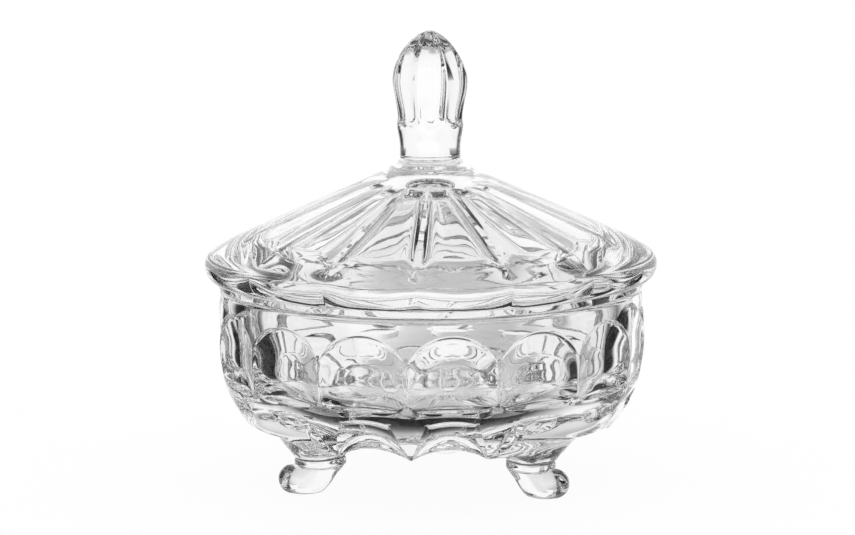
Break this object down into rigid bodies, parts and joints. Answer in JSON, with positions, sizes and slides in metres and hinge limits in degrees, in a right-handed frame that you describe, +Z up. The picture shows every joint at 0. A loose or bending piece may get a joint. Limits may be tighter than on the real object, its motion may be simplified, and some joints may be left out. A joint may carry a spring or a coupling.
{
  "type": "covered candy dish",
  "caption": "Round covered candy dish of clear pressed glass: a fluted bowl on turned-out feet, and a conical lid with a fluted bud finial that lifts off.",
  "frame": {"origin": "on the table, in the middle between the feet, on the dish's axis", "axes": "+Z up along the dish's axis, -Y towards the gap between two feet that the picture shows in front, +X to the right"},
  "size_m": [0.1504, 0.1504, 0.1514],
  "materials": {
    "bowl_glass": "fire-polished clear pressed glass",
    "lid_glass": "fire-polished clear pressed glass"
  },
  "bodies": {
    "bowl": {"bowl": "bowl_glass"},
    "lid": {"lid": "lid_glass"}
  },
  "joints": [
    {"name": "lid_lift", "type": "slide", "parent": "bowl", "child": "lid", "axis": [0, 0, 1], "range_m": [0, 0.08]}
  ]
}
